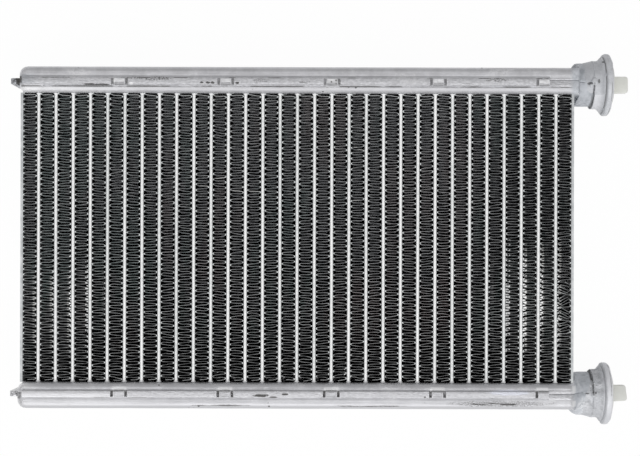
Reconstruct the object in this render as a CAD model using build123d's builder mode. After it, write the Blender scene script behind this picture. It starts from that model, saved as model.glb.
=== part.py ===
# Brazed aluminium heater core, lying on its back face.
# X runs along the tanks, Y across the core from the lower tank to the upper one, Z out of the
# core's front face. Flat tubes join the two tanks, a folded fin strip fills each gap between
# tubes, and each tank ends in a round flanged port that is closed by a push-in transit plug.
# The origin is the middle of the whole part's outline, in the plane that the part lies on.
import os
from math import hypot

from build123d import *

# Core: tubes, fins and side plates
tube_count = 31
tube_pitch = 7.0
tube_thickness = 1.4
tube_wall = 0.3
tube_nose = 0.45
tube_stub = 1.4
tubes_per_node = 2
core_depth = 27.0
core_height = 117.4
side_plate_thickness = 1.0
# The real strip has five times as many legs
fin_leg_count = 22
fin_sheet = 0.24
fin_end_gap = 0.3

# Tank: header plate next to the core, and cover
header_sheet = 1.2
cover_sheet = 1.0
header_overhang = 2.3
tank_height = 10.6
tank_corner = 2.2
closed_end_overhang = 1.2
port_end_overhang = 2.7
seam_height = 5.3

# Skirt of the cover that laps the header plate, and its staked tabs
skirt_edge_height = 2.9
shoulder_height = 5.9
shoulder_rise = 1.3
tab_count = 5
tab_pitch = 42.9
tab_width = 4.7
tab_slot_width = 1.0
tab_slot_top = 5.5
tab_bevel = 0.6
last_tab_from_port_end = 15.2
skirt_end_setback = 2.4

# Ears at the closed end, where both sheets are pinched together
ear_length = 4.2
ear_width = 18.0
gusset_reach = 2.0
gusset_foot = 2.2

# Port: neck, flange ring and transit plug
neck_radius = 8.95
neck_wall = 1.2
header_root_setback = 1.6
header_root_length = 1.2
upper_flare_setback = 1.8
upper_flare_length = 2.6
lower_flare_setback = 4.6
lower_flare_length = 6.6
ring_offset = 6.2
ring_socket_wall = 1.15
ring_collar_length = 2.8
rim_step = 2.8
rim_width = 2.2
rim_rounding = 0.5
plug_depth = 7.0
plug_head_radius = 9.0
plug_head_thickness = 0.8
plug_tab_length = 7.2
plug_tab_width = 6.9
plug_tab_thickness = 2.4
plug_tab_corner = 1.2
lower_tab_skew = 0.9

# Clearances
braze_gap = 0.02
slot_clearance = 0.05
lap_clearance = 0.05
plug_clearance = 0.05

# Sizes that follow
fin_count = tube_count + 1
fin_gap = tube_pitch - tube_thickness
first_tube = -(tube_count - 1) / 2 * tube_pitch
plate_inner = -first_tube + tube_thickness / 2 + fin_gap
plate_outer = plate_inner + side_plate_thickness
header_half = core_depth / 2 + header_overhang
skirt_inner = header_half + lap_clearance
skirt_outer = skirt_inner + cover_sheet
tank_left = -plate_outer - closed_end_overhang
tank_right = plate_outer + port_end_overhang
tank_middle = (tank_left + tank_right) / 2
ring_start = tank_right + ring_offset
cone_start = ring_start + ring_collar_length
collar_radius = neck_radius + ring_socket_wall
flange_radius = collar_radius + rim_step
rim_start = cone_start + rim_step
flange_face = rim_start + rim_width
neck_end = flange_face
bore_radius = neck_radius - neck_wall
passage_radius = min(seam_height - header_sheet, tank_height - cover_sheet - seam_height)
plug_radius = bore_radius - plug_clearance
plug_tip = flange_face + braze_gap + plug_head_thickness + plug_tab_length
ear_tip = tank_left - ear_length
core_x = -(plug_tip + ear_tip) / 2
mid_z = skirt_outer
last_tab = tank_right - last_tab_from_port_end
tab_row_middle = last_tab - (tab_count - 1) / 2 * tab_pitch
skirt_start = tank_left + skirt_end_setback
skirt_end = last_tab + tab_width / 2
cover_base = seam_height + braze_gap


def section_plane(side, x):
    """Across a tank at x: local x runs through the depth and local y away from the core."""
    return Plane(
        origin=(core_x + x, side * core_height / 2, mid_z),
        x_dir=(0, 0, -side),
        z_dir=(1, 0, 0),
    )


def level_plane(side, height):
    """In plan at a height above the core's end, facing away from the core."""
    return Plane(
        origin=(core_x, side * (core_height / 2 + height), mid_z),
        x_dir=(1, 0, 0),
        z_dir=(0, side, 0),
    )


def front_plane(side):
    """Along a tank at mid depth: local x runs to the port and local y away from the core."""
    return Plane(
        origin=(core_x, side * core_height / 2, mid_z),
        x_dir=(1, 0, 0),
        z_dir=(0, 0, side),
    )


def neck_axis(side):
    """Along the middle of a port, at the height of the tank's seam."""
    return Axis(level_plane(side, seam_height).origin, (1, 0, 0))


def tank_form(side, root_start, root_end):
    """The hollow tank with its neck, before it is parted at the seam."""
    with BuildPart() as tank:
        with BuildSketch(level_plane(side, 0)):
            with Locations((tank_middle, 0)):
                Rectangle(tank_right - tank_left, 2 * header_half)
        extrude(amount=tank_height)
        fillet(tank.edges().filter_by(Axis.Y, reverse=True), tank_corner)

        # Neck, which widens from the tank's height to the port's diameter
        with BuildSketch(level_plane(side, seam_height)):
            with BuildLine():
                Polyline(
                    (root_start, 0),
                    (root_start, seam_height - braze_gap),
                    (root_end, neck_radius),
                    (neck_end, neck_radius),
                    (neck_end, 0),
                    close=True,
                )
            make_face()
        revolve(axis=neck_axis(side))

        # Water space, and the waterway that widens from it to the neck's bore
        with BuildSketch(level_plane(side, header_sheet)):
            with Locations((tank_middle, 0)):
                Rectangle(
                    tank_right - tank_left - 2 * header_sheet,
                    2 * (header_half - header_sheet),
                )
        extrude(amount=tank_height - cover_sheet - header_sheet, mode=Mode.SUBTRACT)
        with BuildSketch(level_plane(side, seam_height)):
            with BuildLine():
                Polyline(
                    (tank_right - header_sheet, 0),
                    (tank_right - header_sheet, passage_radius),
                    (root_end + neck_wall, bore_radius),
                    (neck_end, bore_radius),
                    (neck_end, 0),
                    close=True,
                )
            make_face()
        revolve(axis=neck_axis(side), mode=Mode.SUBTRACT)
    return tank.part


def header_plate(side):
    """Pressed plate that the tubes stand in: a dish with one slot for each tube."""
    root_start = tank_right - header_root_setback
    with BuildPart() as plate:
        add(tank_form(side, root_start, root_start + header_root_length))
        split(bisect_by=level_plane(side, seam_height), keep=Keep.BOTTOM)
        with BuildSketch(level_plane(side, 0)):
            with GridLocations(tube_pitch, 0, tube_count, 1):
                Rectangle(
                    tube_thickness + 2 * slot_clearance,
                    core_depth + 2 * slot_clearance,
                )
        extrude(amount=header_sheet, mode=Mode.SUBTRACT)

        # Ear and the sloping gusset that runs from it down to the plate's corner
        with BuildSketch(front_plane(side)):
            with BuildLine():
                Polyline(
                    (ear_tip, seam_height),
                    (ear_tip, seam_height - header_sheet),
                    (tank_left - gusset_reach, seam_height - header_sheet),
                    (tank_left + gusset_foot, 0),
                    (tank_left + gusset_foot, header_sheet),
                    (tank_left + header_sheet, header_sheet),
                    (tank_left + header_sheet, seam_height),
                    close=True,
                )
            make_face()
        extrude(amount=ear_width / 2, both=True)
    return plate.part


def tank_cover(side, flare_setback, flare_length):
    """Pressed cover of the tank, whose skirt laps the header plate and is staked to it."""
    flare_start = tank_right - flare_setback
    with BuildPart() as cover:
        add(tank_form(side, flare_start, flare_start + flare_length))
        split(bisect_by=level_plane(side, cover_base), keep=Keep.TOP)

        # Skirt along the front and the back
        with BuildSketch(section_plane(side, skirt_start)):
            for face_side in (-1, 1):
                with BuildLine():
                    Polyline(
                        (face_side * skirt_inner, skirt_edge_height),
                        (face_side * skirt_outer, skirt_edge_height),
                        (face_side * skirt_outer, shoulder_height),
                        (face_side * header_half, shoulder_height + shoulder_rise),
                        (face_side * (header_half - cover_sheet / 2), cover_base),
                        (face_side * skirt_inner, cover_base),
                        close=True,
                    )
                make_face()
        extrude(amount=skirt_end - skirt_start)

        # Slots on both sides of each tab, and the tab's staked lower edge
        slot_height = tab_slot_top - skirt_edge_height
        slot_offset = tab_width + tab_slot_width
        with BuildSketch(front_plane(side)):
            with Locations((tab_row_middle, skirt_edge_height + slot_height / 2)):
                with GridLocations(tab_pitch, 0, tab_count, 1):
                    with GridLocations(slot_offset, 0, 2, 1):
                        Rectangle(tab_slot_width, slot_height)
        extrude(amount=skirt_outer, both=True, mode=Mode.SUBTRACT)
        for tab in range(tab_count):
            tab_start = last_tab - tab * tab_pitch - tab_width / 2
            with BuildSketch(section_plane(side, tab_start)):
                for face_side in (-1, 1):
                    with BuildLine():
                        Polyline(
                            (face_side * skirt_outer, skirt_edge_height),
                            (face_side * skirt_outer, skirt_edge_height + 2 * tab_bevel),
                            (face_side * (skirt_outer - tab_bevel), skirt_edge_height),
                            close=True,
                        )
                    make_face()
            extrude(amount=tab_width, mode=Mode.SUBTRACT)

        # Ear that lies on the header plate's ear
        with BuildSketch(front_plane(side)):
            with BuildLine():
                Polyline(
                    (ear_tip, cover_base),
                    (ear_tip, cover_base + cover_sheet),
                    (tank_left + cover_sheet, cover_base + cover_sheet),
                    (tank_left + cover_sheet, cover_base),
                    close=True,
                )
            make_face()
        extrude(amount=ear_width / 2, both=True)
    return cover.part


def port_flanges():
    """Turned rings, each slipped over the two halves of a neck to hold them together."""
    socket_radius = neck_radius + braze_gap
    with BuildPart() as rings:
        for side in (1, -1):
            with BuildSketch(level_plane(side, seam_height)):
                with BuildLine():
                    Polyline(
                        (ring_start, socket_radius),
                        (ring_start, collar_radius),
                        (cone_start, collar_radius),
                        (rim_start, flange_radius),
                        (flange_face - rim_rounding, flange_radius),
                        (flange_face, flange_radius - rim_rounding),
                        (flange_face, socket_radius),
                        close=True,
                    )
                make_face()
            revolve(axis=neck_axis(side))
    return rings.part


def transit_plugs():
    """Push-in stoppers that close the ports, each with a flat tab to pull it out by."""
    head_back = flange_face + braze_gap
    head_face = head_back + plug_head_thickness
    half_width = plug_tab_width / 2
    with BuildPart() as plugs:
        for side, skew in ((1, 0), (-1, lower_tab_skew)):
            with BuildSketch(level_plane(side, seam_height)):
                with BuildLine():
                    Polyline(
                        (flange_face - plug_depth, 0),
                        (flange_face - plug_depth, plug_radius),
                        (head_back, plug_radius),
                        (head_back, plug_head_radius),
                        (head_face, plug_head_radius),
                        (head_face, 0),
                        close=True,
                    )
                make_face()
            revolve(axis=neck_axis(side))
            with BuildSketch(front_plane(side)):
                with BuildLine():
                    Polyline(
                        (head_face, seam_height - half_width),
                        (head_face, seam_height + half_width),
                        (plug_tip, seam_height + half_width),
                        (plug_tip - skew, seam_height - half_width),
                        close=True,
                    )
                tab = make_face()
                fillet(tab.vertices().sort_by(Axis.X)[-2:], plug_tab_corner)
            extrude(amount=plug_tab_thickness / 2, both=True)
    return plugs.part


def side_plate(end):
    """Flat strip that closes the core and keeps the last fin pressed to its tube."""
    inner_face = Plane(
        origin=(core_x + end * (plate_inner + braze_gap), 0, mid_z),
        x_dir=(0, 1, 0),
        z_dir=(end, 0, 0),
    )
    with BuildPart() as plate:
        with BuildSketch(inner_face):
            Rectangle(core_height - 2 * braze_gap, core_depth)
        extrude(amount=side_plate_thickness - braze_gap)
    return plate.part


def tubes(first, count):
    """Flat tubes side by side, whose ends stand through the header plates' slots."""
    length = core_height + 2 * (header_sheet + tube_stub)
    middles = [
        (core_x + first_tube + tube * tube_pitch, mid_z) for tube in range(first, first + count)
    ]
    with BuildPart() as group:
        with BuildSketch(Plane.XZ.offset(-length / 2)) as section:
            with Locations(*middles):
                Rectangle(tube_thickness, core_depth)
            chamfer(section.vertices(), tube_nose)
            with Locations(*middles):
                Rectangle(
                    tube_thickness - 2 * tube_wall,
                    core_depth - 2 * tube_wall,
                    mode=Mode.SUBTRACT,
                )
        extrude(amount=length)
    return group.part


def fin(place):
    """Folded strip between two tubes, with a sharp fold at each tube in turn."""
    left = core_x + first_tube + (place - 1) * tube_pitch + tube_thickness / 2 + braze_gap
    width = fin_gap - 2 * braze_gap
    strip_height = core_height - 2 * fin_end_gap
    leg_rise = strip_height / fin_leg_count
    sheet_run = fin_sheet * hypot(width, leg_rise) / leg_rise
    folds = [
        (left + (width - sheet_run) * (leg % 2), leg * leg_rise - strip_height / 2)
        for leg in range(fin_leg_count + 1)
    ]
    with BuildPart() as strip:
        with BuildSketch(Plane.XY.offset(mid_z - core_depth / 2)):
            with BuildLine():
                Polyline(*folds, *[(x + sheet_run, y) for x, y in reversed(folds)], close=True)
            make_face()
        extrude(amount=core_depth)
    return strip.part


pieces = {
    "header_plate_upper": header_plate(1),
    "header_plate_lower": header_plate(-1),
    "tank_cover_upper": tank_cover(1, upper_flare_setback, upper_flare_length),
    "tank_cover_lower": tank_cover(-1, lower_flare_setback, lower_flare_length),
    "port_flanges": port_flanges(),
    "transit_plugs": transit_plugs(),
    "side_plate_left": side_plate(-1),
    "side_plate_right": side_plate(1),
}
for first in range(0, tube_count, tubes_per_node):
    count = min(tubes_per_node, tube_count - first)
    pieces[f"tubes_{first // tubes_per_node + 1:02d}"] = tubes(first, count)
for place in range(fin_count):
    pieces[f"fin_{place + 1:02d}"] = fin(place)

os.makedirs("parts", exist_ok=True)
for name, piece in pieces.items():
    piece.label = name
    export_step(piece, f"parts/{name}.step")
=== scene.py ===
import math

import bmesh
import bpy
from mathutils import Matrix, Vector


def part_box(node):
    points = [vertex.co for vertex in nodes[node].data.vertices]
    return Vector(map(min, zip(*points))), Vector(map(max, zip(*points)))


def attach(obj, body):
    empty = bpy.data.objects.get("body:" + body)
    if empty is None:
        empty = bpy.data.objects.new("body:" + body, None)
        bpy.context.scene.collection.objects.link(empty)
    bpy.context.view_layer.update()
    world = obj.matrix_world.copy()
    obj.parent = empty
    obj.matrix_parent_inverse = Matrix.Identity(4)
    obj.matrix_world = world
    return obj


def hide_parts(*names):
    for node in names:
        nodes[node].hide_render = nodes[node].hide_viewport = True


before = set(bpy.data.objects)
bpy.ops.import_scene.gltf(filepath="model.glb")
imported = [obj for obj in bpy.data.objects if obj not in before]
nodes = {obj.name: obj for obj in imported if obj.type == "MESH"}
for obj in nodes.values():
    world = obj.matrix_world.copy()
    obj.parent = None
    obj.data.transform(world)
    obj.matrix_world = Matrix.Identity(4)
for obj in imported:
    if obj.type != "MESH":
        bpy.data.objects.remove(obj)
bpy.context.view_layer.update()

# The tubes: 31 flat tubes of clad aluminium strip, folded and brazed shut. They stand in
# slots of the header plates, and the white flux left by the oven coats their noses.
mm = 0.001
core_x = -9.66 * mm
core_middle_z = 16.85 * mm
tube_pitch = 7.0 * mm
tube_count = 31


class Flow:
    """One output of a material's nodes. Sums and products of outputs add the Math nodes."""

    def __init__(self, tree, output=None):
        self.tree = tree
        self.output = output

    def node(self, kind, settings=None, inputs=None, output=0):
        made = self.tree.nodes.new(kind)
        for name, value in (settings or {}).items():
            setattr(made, name, value)
        for name, value in (inputs or {}).items():
            if isinstance(value, Flow):
                self.tree.links.new(value.output, made.inputs[name])
            else:
                made.inputs[name].default_value = value
        return Flow(self.tree, made.outputs[output] if made.outputs else None)

    def math(self, operation, *values):
        return self.node("ShaderNodeMath", {"operation": operation}, dict(enumerate(values)))

    def __add__(self, other):
        return self.math("ADD", self, other)

    def __radd__(self, other):
        return self.math("ADD", other, self)

    def __sub__(self, other):
        return self.math("SUBTRACT", self, other)

    def __rsub__(self, other):
        return self.math("SUBTRACT", other, self)

    def __mul__(self, other):
        return self.math("MULTIPLY", self, other)

    def __rmul__(self, other):
        return self.math("MULTIPLY", other, self)

    def __truediv__(self, other):
        return self.math("DIVIDE", self, other)

    def size(self):
        """The value without its sign."""
        return self.math("ABSOLUTE", self)

    def or_more(self, other):
        """The larger of the two values."""
        return self.math("MAXIMUM", self, other)

    def or_less(self, other):
        """The smaller of the two values."""
        return self.math("MINIMUM", self, other)

    def within(self, low, high):
        """Rises from 0 at low to 1 at high, and is level outside them."""
        inputs = {"Value": self, "From Min": low, "From Max": high}
        return self.node("ShaderNodeMapRange", {"interpolation_type": "SMOOTHSTEP"}, inputs)

    def rises(self, low, high):
        """The same, with low and high in millimetres."""
        return self.within(low * mm, high * mm)

    def falls(self, low, high):
        """Falls from 1 at low to 0 at high, in millimetres."""
        return 1 - self.rises(low, high)

    def band(self, *ends):
        """Rises between the first two places and falls between the last two."""
        return self.rises(*ends[:2]) * self.falls(*ends[2:])

    def noise(self, scale, detail=3.0, roughness=0.55, stretch=(1.0, 1.0, 1.0)):
        """Noise over the place that this output gives, with scale in ripples per metre."""
        spread = self.node("ShaderNodeMapping", inputs={"Vector": self, "Scale": stretch})
        inputs = {"Vector": spread, "Scale": scale, "Detail": detail, "Roughness": roughness}
        return spread.node("ShaderNodeTexNoise", inputs=inputs)

    def blend(self, first, second):
        """The first colour where this output is 0, and the second where it is 1."""
        return self.node("ShaderNodeMix", {"data_type": "RGBA"}, {0: self, 6: first, 7: second}, 2)

    def part(self, axis):
        """One of the coordinates X, Y or Z of the place that this output gives."""
        return self.node("ShaderNodeSeparateXYZ", inputs={"Vector": self}, output=axis)


def open_finish(name):
    """An empty material, and the Object coordinates of what wears it."""
    material = bpy.data.materials.new(name)
    material.use_nodes = True
    material.node_tree.nodes.clear()
    place = Flow(material.node_tree).node("ShaderNodeTexCoord", output="Object")
    return material, place


def close_finish(place, relief, lift, **inputs):
    """Joins a colour, roughness and the rest to a surface, with relief of the given height."""
    inputs = {name.replace("_", " "): value for name, value in inputs.items()}
    bumps = {"Strength": 1.0, "Distance": lift, "Height": relief}
    inputs["Normal"] = place.node("ShaderNodeBump", inputs=bumps)
    surface = place.node("ShaderNodeBsdfPrincipled", inputs=inputs)
    place.node("ShaderNodeOutputMaterial", inputs={"Surface": surface})


def from_nearest(coordinate, member, pitch):
    """How far a place is from the nearest member of an endless row."""
    share = coordinate.math("FRACT", (coordinate - (member - pitch / 2)) / pitch)
    return (share - 0.5).size() * pitch


tube_white = (0.97, 0.97, 0.97, 1.0)
tube_grey = (0.76, 0.78, 0.78, 1.0)
# Painted shade: the tubes' sides down between the fins are near black, and only the nose shows the flux
# colours.
tube_painted_shade = (0.05, 0.05, 0.05, 1.0)
tube_finish, place = open_finish("tube_finish")
crust = place.noise(700.0, detail=4.0)
wash = place.noise(75.0, stretch=(1.0, 0.12, 0.3))
shade = (crust * 0.5 + wash * 0.6).within(0.38, 0.62)
from_middle = (place.part("Z") - core_middle_z).size()
off_axis = from_nearest(place.part("X"), core_x, tube_pitch)
nose = from_middle.rises(12.6, 13.0) * off_axis.falls(0.44, 0.68)
colour = nose.blend(tube_painted_shade, shade.blend(tube_grey, tube_white))
close_finish(
    place,
    crust,
    0.12 * mm,
    Base_Color=colour,
    Roughness=crust * 0.3 + 0.35,
    Metallic=0.05,
    Specular_IOR_Level=0.3,
)
for name, node in nodes.items():
    if name.startswith("tubes"):
        for slot in node.material_slots:
            slot.material = tube_finish

# The fins: 32 strips of thin aluminium, rolled into rows of louvres and folded into tight
# waves, stand between the tubes. Each crest is brazed to a tube with a small bright fillet.
# One is modelled and copied, each copy gets its own waviness, and the last has bent legs.
fold_count = 54
wave_pitch = 2.16 * mm
fin_sheet = 0.16 * mm
fin_depth = 26.8 * mm
fin_lean = 0.48 * mm
fin_half_width = 2.76 * mm
bend = ((1.0, 0.08), (0.55, 0.17), (0.25, 0.13), (0.10, 0.12))
bend_width = 1.90 * mm
bend_height = 1.00 * mm
leg_half = fin_half_width - fin_sheet / 2 - bend_width
leg_rise = wave_pitch / 2 - bend_height
first_leg = -fold_count * wave_pitch / 2
right_crest = first_leg + leg_rise + bend_height / 2
louvre_width = 3.5 * mm
louvre_length = 1.0 * mm
louvre_sheet = 0.09 * mm
louvre_tilt = math.radians(16)
louvre_pitch = 1.2 * mm
louvres_in_bank = 4
bank_reach = fin_depth / 2 - 1.15 * mm
fillet_reach = 0.22 * mm
fillet_half = 0.44 * mm
fillet_bite = 0.03 * mm
fillet_set_back = 0.1 * mm
near = 0.01 * mm


def pick(piece, kind, test):
    """Selects only the vertices, edges or faces whose middle passes the test."""
    bpy.ops.mesh.select_mode(type=kind)
    bpy.ops.mesh.select_all(action="DESELECT")
    shape = bmesh.from_edit_mesh(piece.data)
    items = {"VERT": shape.verts, "EDGE": shape.edges, "FACE": shape.faces}[kind]
    for item in items:
        corners = [item.co] if kind == "VERT" else [corner.co for corner in item.verts]
        middle = sum(corners, Vector()) / len(corners)
        item.select_set(bool(test(middle, item)))
    shape.select_flush_mode()
    bmesh.update_edit_mesh(piece.data)


def start(name, primitive, place, scale, turn=(0.0, 0.0, 0.0), **settings):
    """Adds a primitive at its place and size, alone selected."""
    bpy.ops.object.select_all(action="DESELECT")
    primitive(location=place, rotation=turn, **settings)
    piece = bpy.context.active_object
    piece.name = name
    piece.scale = scale
    bpy.ops.object.transform_apply(location=True, rotation=True, scale=True)
    return piece


def block(name, place, size, turn=(0.0, 0.0, 0.0)):
    """Adds a box of the given size about its middle."""
    return start(name, bpy.ops.mesh.primitive_cube_add, place, size, turn, size=1.0)


def settle(piece, kind, **settings):
    """Adds a modifier with its settings and applies it."""
    bpy.ops.object.select_all(action="DESELECT")
    piece.select_set(True)
    bpy.context.view_layer.objects.active = piece
    modifier = piece.modifiers.new("work", kind)
    for key, value in settings.items():
        setattr(modifier, key, value)
    bpy.ops.object.modifier_apply(modifier=modifier.name)


def repeat(piece, count, offset):
    """Repeats the piece's mesh in a row, joined where the copies touch."""
    settle(
        piece,
        "ARRAY",
        count=count,
        use_relative_offset=False,
        use_constant_offset=True,
        constant_offset_displace=offset,
        use_merge_vertices=True,
        merge_threshold=near,
    )


def clouds(name, size):
    """A cloudy texture for roughening a mesh, with lumps of the given size."""
    texture = bpy.data.textures.new(name, "CLOUDS")
    texture.noise_scale = size
    return texture


def roughen(piece, texture, strength, direction="NORMAL", middle=0.5):
    """Pushes a mesh in and out by a cloudy texture."""
    settle(
        piece,
        "DISPLACE",
        texture=texture,
        direction=direction,
        strength=strength,
        mid_level=middle,
        texture_coords="LOCAL",
    )


def join(pieces):
    """Joins the other pieces into the first."""
    bpy.ops.object.select_all(action="DESELECT")
    for piece in pieces:
        piece.select_set(True)
    bpy.context.view_layer.objects.active = pieces[0]
    bpy.ops.object.join()
    return pieces[0]


def copy_of(piece, name):
    """A copy with its own mesh, alone selected."""
    bpy.ops.object.select_all(action="DESELECT")
    twin = piece.copy()
    twin.data = piece.data.copy()
    twin.name = name
    bpy.context.collection.objects.link(twin)
    twin.select_set(True)
    bpy.context.view_layer.objects.active = twin
    return twin


def fit(piece, finish, slot, *replaced):
    """Gives a finished piece its finish and its body, and hides the nodes it stands for. Its slot is not
    used.
    """
    piece.data.materials.clear()
    piece.data.materials.append(finish)
    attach(piece, "root")
    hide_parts(*replaced)


strip = start(
    "fin_pattern",
    bpy.ops.mesh.primitive_plane_add,
    (0.0, first_leg + leg_rise / 2, core_middle_z),
    (2 * leg_half, fin_depth, 1.0),
    (math.pi / 2, 0.0, 0.0),
    size=1.0,
)
bpy.ops.object.mode_set(mode="EDIT")
pick(strip, "EDGE", lambda middle, edge: middle.x < -0.99 * leg_half)
bpy.ops.transform.translate(value=(0, -leg_rise / 2, 0))
pick(strip, "EDGE", lambda middle, edge: middle.x > 0.99 * leg_half)
bpy.ops.transform.translate(value=(0, leg_rise / 2, 0))
right_turn = list(bend) + [(-across, along) for across, along in reversed(bend)]
left_turn = [(-across, along) for across, along in right_turn]
wave = right_turn + [(-2 * leg_half / mm, leg_rise / mm)] + left_turn
for across, along in wave:
    bpy.ops.mesh.extrude_region_move(TRANSFORM_OT_translate={"value": (across * mm, along * mm, 0)})
bpy.ops.object.mode_set(mode="OBJECT")
repeat(strip, fold_count, (0, wave_pitch, 0))
bpy.ops.object.mode_set(mode="EDIT")
bpy.ops.mesh.select_all(action="SELECT")
bpy.ops.mesh.normals_make_consistent(inside=False)
bpy.ops.object.mode_set(mode="OBJECT")
settle(strip, "SOLIDIFY", thickness=fin_sheet, offset=0.0, use_even_offset=True)
patterns = [strip]
for right in (1, -1):
    fillet_x = right * (fin_half_width + fillet_bite - fillet_half / 2)
    fillet_y = right_crest if right > 0 else right_crest + wave_pitch / 2
    fillet = start(
        "fillet",
        bpy.ops.mesh.primitive_cylinder_add,
        (fillet_x, fillet_y, core_middle_z),
        (fillet_half, fillet_reach, fin_depth - fillet_set_back),
        (0.0, 0.0, math.pi / 2 * right),
        vertices=3,
        radius=1.0,
        depth=1.0,
    )
    repeat(fillet, fold_count, (0, wave_pitch, 0))
    patterns.append(fillet)
join(patterns)
bpy.ops.object.mode_set(mode="EDIT")
for front in (1, -1):
    pick(strip, "VERT", lambda middle, corner: (middle.z - core_middle_z) * front > 0)
    bpy.ops.transform.translate(value=(0, front * fin_lean, 0))
bpy.ops.object.mode_set(mode="OBJECT")
banks = [strip]
for front in (1, -1):
    for row in range(louvres_in_bank):
        louvre_z = front * (bank_reach - row * louvre_pitch)
        louvre_y = first_leg + leg_rise / 2 + fin_lean * louvre_z / (fin_depth / 2)
        louvre = block(
            "louvre",
            (0.0, louvre_y, core_middle_z + louvre_z),
            (louvre_width, louvre_sheet, louvre_length),
            (front * louvre_tilt, 0.0, 0.0),
        )
        repeat(louvre, 2 * fold_count, (0, wave_pitch / 2, 0))
        banks.append(louvre)
join(banks)

# Painted shade and light on the fins: their faces below the front edges are near black, tinted green or
# brown, as shade down in the core, and their front edges get a painted lit grey, toned by rows and by
# noise.
fin_depth_shade = (0.075, 0.075, 0.082, 1.0)
fin_shade_green = (0.060, 0.104, 0.095, 1.0)
fin_shade_brown = (0.112, 0.080, 0.080, 1.0)
fin_lit_edge = (0.46, 0.47, 0.47, 1.0)
fin_braze = (0.80, 0.83, 0.83, 1.0)
fin_glint = (0.80, 0.80, 0.78, 1.0)
fin_shade_black = (0.012, 0.012, 0.014, 1.0)
fin_lit = (0.165, 0.170, 0.178, 1.0)
fin_gap_light = (0.480, 0.485, 0.500, 1.0)
fin_finish, place = open_finish("fin_finish")
fin_x = place.part("X")
fin_y = place.part("Y")
from_tube = from_nearest(fin_x, core_x, tube_pitch)
crest = from_tube.falls(1.0, 1.5)
from_face = fin_depth / 2 - (place.part("Z") - core_middle_z).size()
face = from_face.falls(0.1, 0.4)
shallow = from_face.falls(0.2, 1.2)
tint = place.noise(60.0, stretch=(1.0, 0.3, 0.3)) + fin_x.or_less(0.0) * 0.9
patch = place.noise(420.0)
dark = tint.within(0.50, 0.62).blend(fin_depth_shade, fin_shade_brown)
dark = (1 - tint.within(0.36, 0.47)).blend(dark, fin_shade_green)
# Painted light: the upper rows are lighter, and between the crests a pale grey stands in for light that
# reaches the faces deep in the gaps.
upper_rows = fin_y.rises(-32.0, -4.0)
dark = (upper_rows * 0.55).blend(dark, fin_lit)
between_crests = from_tube.rises(1.3, 2.1) * upper_rows
below_face = from_face.rises(0.9, 2.4)
dark = (between_crests * below_face * 0.75).blend(dark, fin_gap_light)
# Painted shade: the lower rows and the right-hand columns go to near black.
lower_rows = fin_y.falls(-54.0, -20.0)
shaded = (lower_rows * 0.95).or_more(fin_x.rises(50.0, 88.0) * 0.62)
dark = shaded.blend(dark, fin_shade_black)
ends = fin_y.size().rises(56.6, 57.3)
edge_light = patch.within(0.35, 0.65) * 0.40 + 0.35 - upper_rows * 0.14 - between_crests * 0.16
edge_light = edge_light - lower_rows * 0.12
colour = (edge_light.or_more(ends) * face).blend(dark, fin_lit_edge)
# Painted light: pale dashes on the outer columns stand in for light seen through the core.
from_centre = (fin_x - core_x).size()
outer_columns = from_centre.band(87.2, 88.2, 108.5, 109.5)
in_column = place.math("FRACT", from_centre / tube_pitch)
glint_side = in_column.within(0.08, 0.13) * (1 - in_column.within(0.30, 0.36))
slanted = fin_y - fin_x * 0.067
glint_rows = fin_y.rises(-48.0, -43.0) * slanted.falls(-11.0, -6.0)
glint_rows = glint_rows * place.noise(130.0).within(0.32, 0.62)
colour = (outer_columns * glint_side * glint_rows * 0.85).blend(colour, fin_glint)
colour = (crest * shallow * patch.within(0.28, 0.55)).blend(colour, fin_braze)


def leg_glint(x, y, slant):
    """A painted highlight on the front edge of one fin leg, where a knocked leg catches the light."""
    off_x = fin_x - x * mm
    off_y = fin_y - y * mm - off_x * slant
    return off_x.size().falls(2.0, 2.7) * off_y.size().falls(0.35, 0.60)


leg_glints = leg_glint(-47.4, 20.9, 0.20) + leg_glint(-40.5, 24.1, 0.12) + leg_glint(-33.6, 18.9, -0.05)
leg_glints = leg_glints + leg_glint(-27.3, 18.9, 0.0) + leg_glint(15.7, 36.2, -0.25)
leg_glints = leg_glints + leg_glint(15.5, 15.0, -0.2) + leg_glint(54.4, 32.2, 0.1)
colour = (leg_glints * face * 0.7).blend(colour, fin_glint)
close_finish(
    place,
    patch,
    0.05 * mm,
    Base_Color=colour,
    Roughness=patch * 0.3 + 0.45,
    Metallic=0.0,
    Specular_IOR_Level=0.08,
)

waves = clouds("fin_waves", 9.0 * mm)
ripples = clouds("fin_ripples", 2.4 * mm)
wave_height = 1.2 * mm
ripple_height = 0.6 * mm
depth_shrink = 0.06
fin_count = 32
knocks = ((-20.0 * mm, 0.42), (-25.0 * mm, -0.50), (-30.5 * mm, 0.38), (-36.0 * mm, -0.30))
knock_half_height = 2.3 * mm
knock_half_width = 2.2 * mm
for number in range(1, fin_count + 1):
    node = "fin_%02d" % number
    low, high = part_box(node)
    fins = copy_of(strip, "fin_strip_%02d" % number)
    fins.location.x = (low.x + high.x) / 2
    bpy.ops.object.transform_apply(location=True)
    fins.scale.z = depth_shrink
    bpy.ops.object.transform_apply(scale=True)
    roughen(fins, waves, wave_height, "Y")
    roughen(fins, ripples, ripple_height, "Y")
    fins.scale.z = 1 / depth_shrink
    bpy.ops.object.transform_apply(scale=True)
    if number == fin_count:
        bpy.ops.object.mode_set(mode="EDIT")
        for knock_y, knock in knocks:
            knock_place = ((low.x + high.x) / 2, knock_y, core_middle_z)
            pick(
                fins,
                "VERT",
                lambda middle, corner: abs(middle.y - knock_y) < knock_half_height
                and abs(middle.x - knock_place[0]) < knock_half_width
                and middle.z > core_middle_z,
            )
            bpy.ops.transform.rotate(value=knock, orient_axis="Z", center_override=knock_place)
        bpy.ops.object.mode_set(mode="OBJECT")
    fit(fins, fin_finish, "fin_aluminium", node)
bpy.data.objects.remove(strip)

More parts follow.
